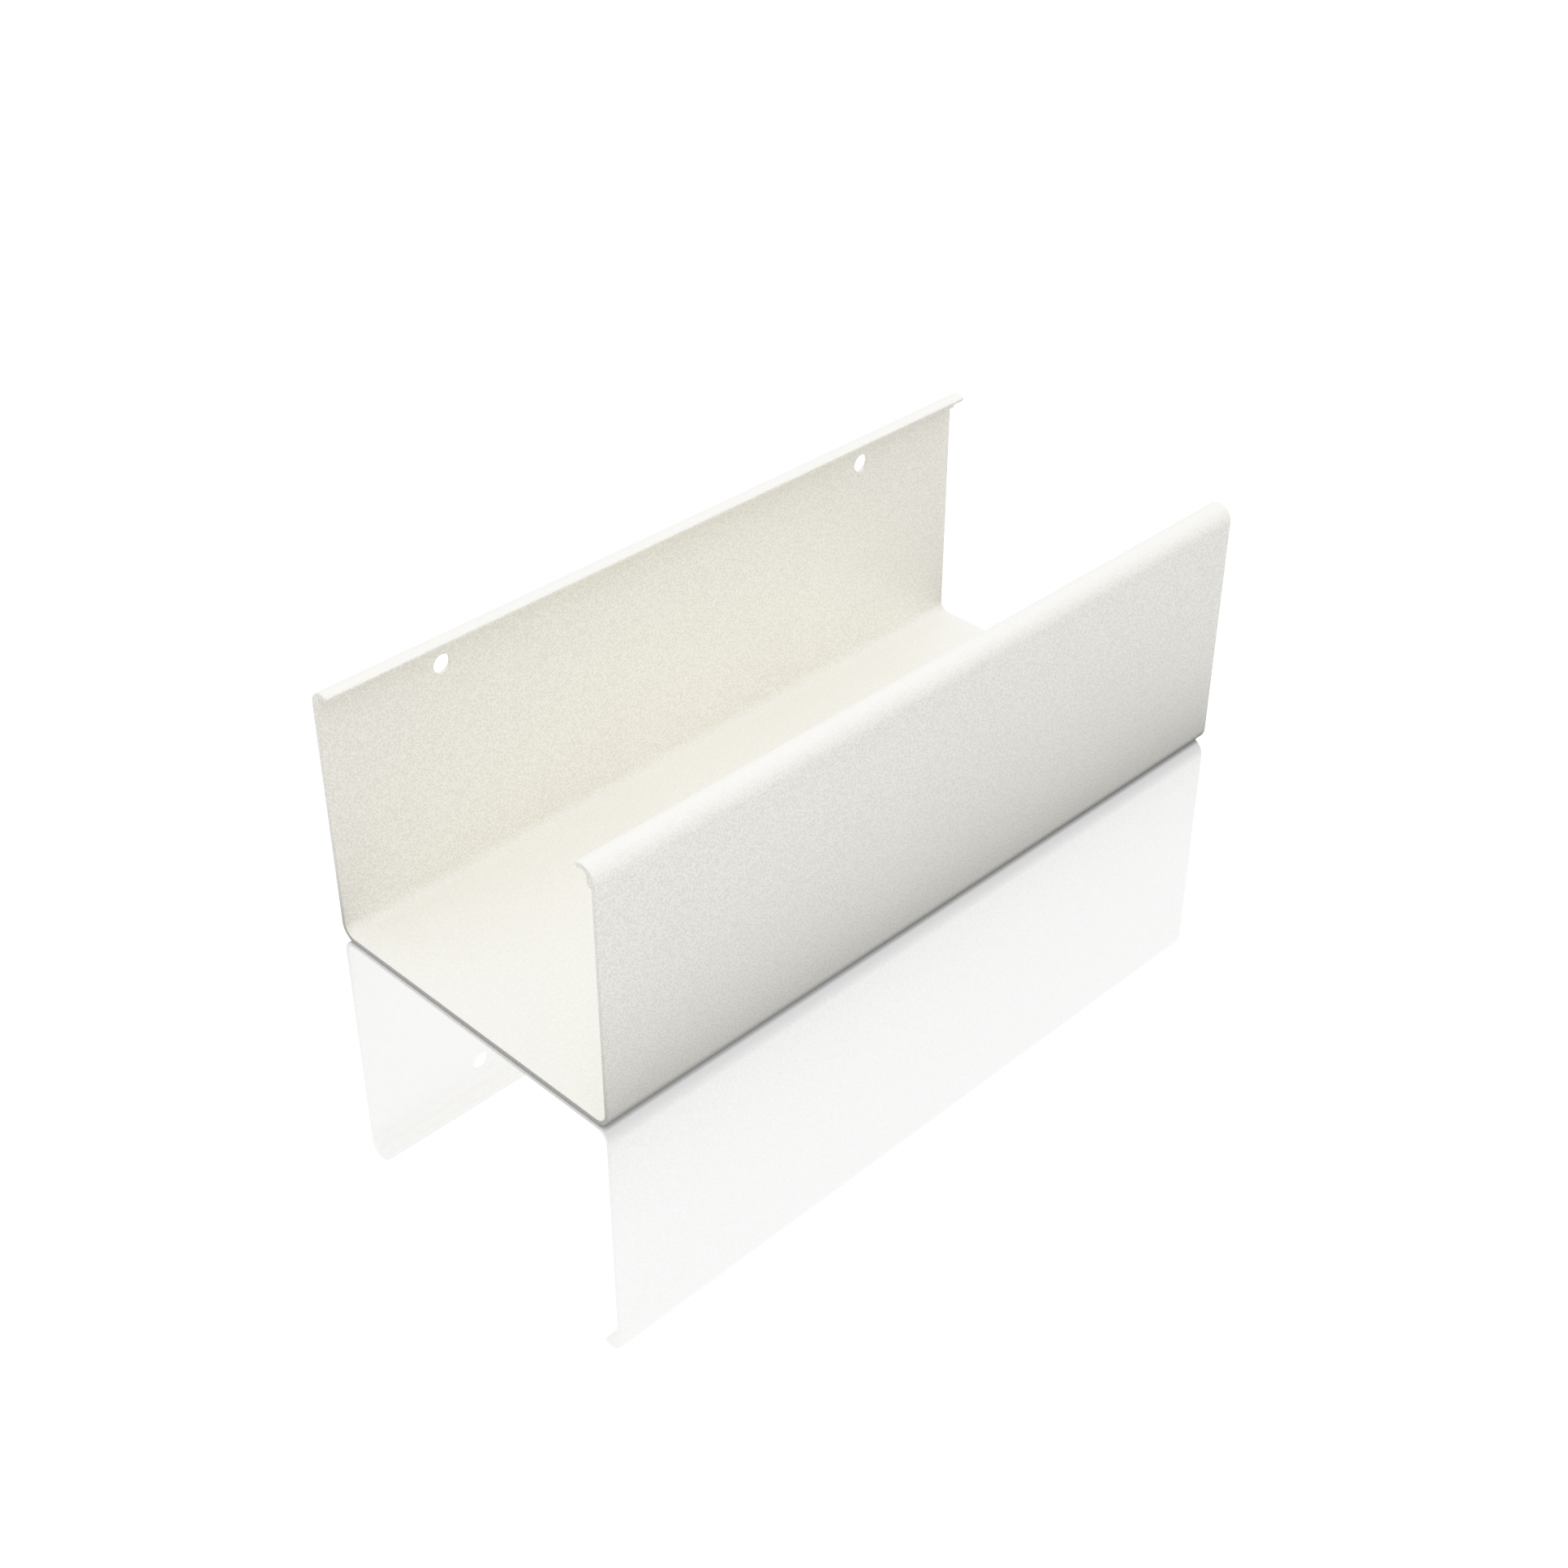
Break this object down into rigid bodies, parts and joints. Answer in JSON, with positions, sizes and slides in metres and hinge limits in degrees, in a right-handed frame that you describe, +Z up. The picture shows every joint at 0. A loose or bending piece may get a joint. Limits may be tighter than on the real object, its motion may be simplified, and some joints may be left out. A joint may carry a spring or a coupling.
{
  "type": "cable tray",
  "caption": "Open U-shaped cable tray in coated aluminium, with a rolled lip along the top of each wall and fixing holes in the back wall.",
  "frame": {"origin": "middle of the underside of the floor", "axes": "+X along the tray, +Y towards the back wall with the fixing holes, +Z up"},
  "size_m": [0.3, 0.135, 0.1],
  "materials": {
    "coated_aluminium": "fine-grained matt powder coat, warm off-white"
  },
  "bodies": {
    "root": {"tray": "coated_aluminium"}
  },
  "joints": []
}
